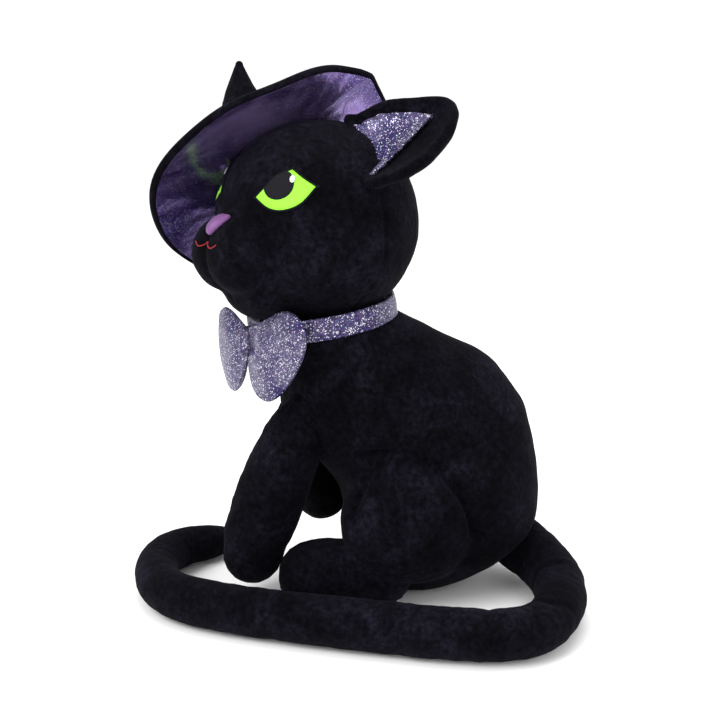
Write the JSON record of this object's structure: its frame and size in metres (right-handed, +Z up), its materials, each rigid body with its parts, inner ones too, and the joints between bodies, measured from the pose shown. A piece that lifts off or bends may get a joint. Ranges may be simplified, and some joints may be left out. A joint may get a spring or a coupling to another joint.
{
  "type": "plush cat",
  "caption": "Seated stuffed cat with a tilted pointed hat, a collar with a bow and a long curled tail; it sits on a flat weighted base, and its head, ear, legs and tail bend.",
  "frame": {"origin": "on the flat seat panel that rests on the ground, on the body's middle plane and 8 mm in front of the panel's centre", "axes": "+Z up, the cat faces -Y, +X is the cat's left side"},
  "size_m": [0.2599, 0.3196, 0.3784],
  "materials": {
    "pile": "matte",
    "filling": "matte",
    "lining_cloth": "matte",
    "pellets": "matte",
    "nose_satin": "satin",
    "red_thread": "satin",
    "eye_green": "satin",
    "eye_black": "matte",
    "eye_white": "satin",
    "glitter": "satin",
    "foil": "gloss",
    "foam": "matte"
  },
  "bodies": {
    "torso": {"torso_skin": "pile", "torso_stuffing": "filling", "pellet_pouch": "lining_cloth", "pellet_fill": "pellets", "seat_panel": "pile", "haunch_left_skin": "pile", "haunch_left_stuffing": "filling", "haunch_right_skin": "pile", "haunch_right_stuffing": "filling", "hind_foot_left_skin": "pile", "hind_foot_left_stuffing": "filling", "hind_foot_right_skin": "pile", "hind_foot_right_stuffing": "filling", "collar_band": "glitter", "bow_knot": "glitter"},
    "bow_left": {"bow_left_cloth": "glitter", "bow_left_batting": "filling"},
    "bow_right": {"bow_right_cloth": "glitter", "bow_right_batting": "filling"},
    "front_leg_left": {"front_leg_left_skin": "pile", "front_leg_left_stuffing": "filling"},
    "front_leg_right": {"front_leg_right_skin": "pile", "front_leg_right_stuffing": "filling"},
    "tail_root": {"tail_root_skin": "pile", "tail_root_stuffing": "filling"},
    "tail_run": {"tail_run_skin": "pile", "tail_run_stuffing": "filling"},
    "tail_end": {"tail_end_skin": "pile", "tail_end_stuffing": "filling"},
    "head": {"head_skin": "pile", "head_stuffing": "filling", "muzzle_skin": "pile", "muzzle_stuffing": "filling", "nose": "nose_satin", "mouth_stitch": "red_thread", "eye_left_iris": "eye_green", "eye_left_pupil": "eye_black", "eye_left_glint": "eye_white", "eye_right_iris": "eye_green", "eye_right_pupil": "eye_black", "eye_right_glint": "eye_white", "brim_lining": "foil", "brim_foam": "foam", "brim_top": "pile", "hat_crown_skin": "pile", "hat_crown_stuffing": "filling"},
    "ear_left": {"ear_left_skin": "pile", "ear_left_batting": "filling", "ear_left_lining": "glitter"},
    "hat_tip": {"hat_tip_skin": "pile", "hat_tip_stuffing": "filling"}
  },
  "joints": [
    {"name": "head_turn", "type": "hinge", "parent": "torso", "child": "head", "pos_m": [0, -0.082, 0.269], "axis": [0, 0, 1], "range_deg": [-25, 2], "stiffness_Nm_per_rad": 0.12},
    {"name": "ear_left_fold", "type": "hinge", "parent": "head", "child": "ear_left", "pos_m": [0.0299, -0.05185, 0.321], "axis": [0.8285, 0.1152, -0.548], "range_deg": [-7, 12], "stiffness_Nm_per_rad": 0.08},
    {"name": "hat_tip_bend", "type": "hinge", "parent": "head", "child": "hat_tip", "pos_m": [-0.07793, -0.13141, 0.34273], "axis": [-0.5446, 0.8387, 0], "range_deg": [-15, 15], "stiffness_Nm_per_rad": 0.06},
    {"name": "bow_left_fold", "type": "hinge", "parent": "torso", "child": "bow_left", "pos_m": [0.02433, -0.12861, 0.19], "axis": [0, 0, -1], "range_deg": [0, 15], "stiffness_Nm_per_rad": 0.02},
    {"name": "bow_right_fold", "type": "hinge", "parent": "torso", "child": "bow_right", "pos_m": [0.0149, -0.13406, 0.19], "axis": [0, 0, 1], "range_deg": [0, 15], "stiffness_Nm_per_rad": 0.02},
    {"name": "front_leg_left_swing", "type": "hinge", "parent": "torso", "child": "front_leg_left", "pos_m": [0.024, -0.098, 0.122], "axis": [-1, 0, 0], "range_deg": [0, 28], "stiffness_Nm_per_rad": 0.25},
    {"name": "front_leg_right_swing", "type": "hinge", "parent": "torso", "child": "front_leg_right", "pos_m": [-0.024, -0.095, 0.12], "axis": [-1, 0, 0], "range_deg": [0, 40], "stiffness_Nm_per_rad": 0.25},
    {"name": "tail_root_swing", "type": "hinge", "parent": "torso", "child": "tail_root", "pos_m": [0, 0.066, 0.027], "axis": [0, 0, 1], "range_deg": [0, 6], "stiffness_Nm_per_rad": 0.15},
    {"name": "tail_run_bend", "type": "hinge", "parent": "tail_root", "child": "tail_run", "pos_m": [0.131, 0.025, 0.017], "axis": [0, 0, 1], "range_deg": [0, 20], "stiffness_Nm_per_rad": 0.1},
    {"name": "tail_end_bend", "type": "hinge", "parent": "tail_run", "child": "tail_end", "pos_m": [0.063, -0.17, 0.0166], "axis": [0, 0, 1], "range_deg": [0, 20], "stiffness_Nm_per_rad": 0.06}
  ]
}
